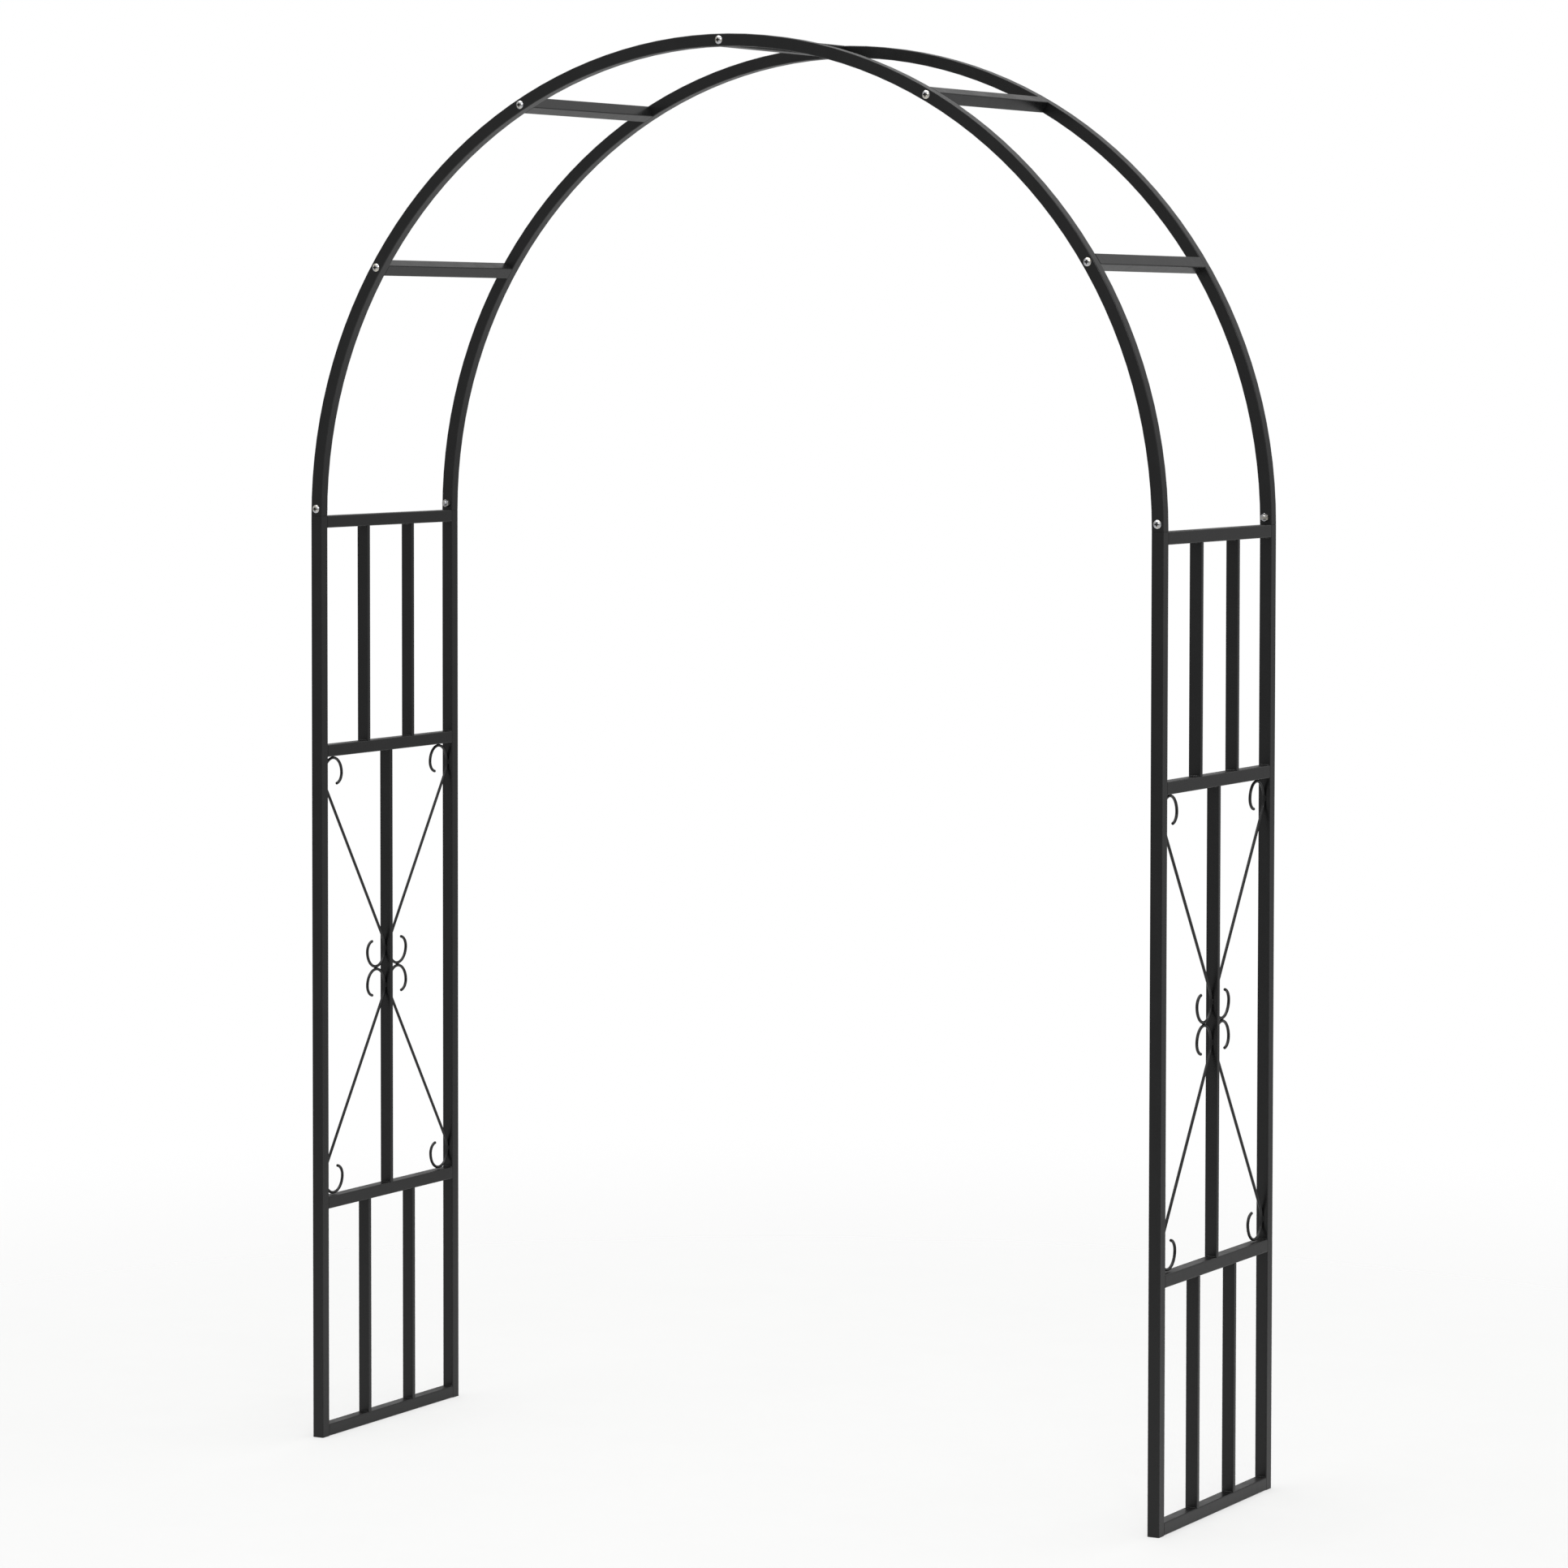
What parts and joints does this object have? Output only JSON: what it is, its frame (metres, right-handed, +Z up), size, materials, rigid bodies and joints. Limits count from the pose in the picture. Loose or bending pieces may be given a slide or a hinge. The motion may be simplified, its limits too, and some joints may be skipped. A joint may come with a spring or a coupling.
{
  "type": "garden trellis arch",
  "caption": "Tall round-topped garden arch of welded square tube, with scrolled side panels and bolted crossbars for climbing plants.",
  "frame": {"origin": "on the ground, in the middle of the footprint", "axes": "+Z up, Y along the walkway with the front at -Y, X across from the left panel to the right one"},
  "size_m": [1.475, 0.4106, 2.2005],
  "materials": {
    "coated_tube": "satin black powder coat on welded steel tube",
    "coated_rod": "satin black powder coat on round steel rod",
    "zinc_fastener": "bright zinc plate",
    "plain_steel": "bare drawn steel, hidden inside the tubes"
  },
  "bodies": {
    "root": {"base_bolts": "zinc_fastener", "base_nuts": "zinc_fastener", "crossbar_plugs": "plain_steel", "crossbar_screws": "zinc_fastener", "front_arch": "coated_tube", "left_bottom_rail": "coated_tube", "left_centre_bar": "coated_tube", "left_front_lower_bar": "coated_tube", "left_front_lower_scroll": "coated_rod", "left_front_post": "coated_tube", "left_front_spigot": "plain_steel", "left_front_upper_bar": "coated_tube", "left_front_upper_scroll": "coated_rod", "left_high_crossbar": "coated_tube", "left_low_crossbar": "coated_tube", "left_lower_rail": "coated_tube", "left_rear_lower_bar": "coated_tube", "left_rear_lower_scroll": "coated_rod", "left_rear_post": "coated_tube", "left_rear_spigot": "plain_steel", "left_rear_upper_bar": "coated_tube", "left_rear_upper_scroll": "coated_rod", "left_top_rail": "coated_tube", "left_upper_rail": "coated_tube", "rear_arch": "coated_tube", "right_bottom_rail": "coated_tube", "right_centre_bar": "coated_tube", "right_front_lower_bar": "coated_tube", "right_front_lower_scroll": "coated_rod", "right_front_post": "coated_tube", "right_front_spigot": "plain_steel", "right_front_upper_bar": "coated_tube", "right_front_upper_scroll": "coated_rod", "right_high_crossbar": "coated_tube", "right_low_crossbar": "coated_tube", "right_lower_rail": "coated_tube", "right_rear_lower_bar": "coated_tube", "right_rear_lower_scroll": "coated_rod", "right_rear_post": "coated_tube", "right_rear_spigot": "plain_steel", "right_rear_upper_bar": "coated_tube", "right_rear_upper_scroll": "coated_rod", "right_top_rail": "coated_tube", "right_upper_rail": "coated_tube", "top_crossbar": "coated_tube"}
  },
  "joints": []
}
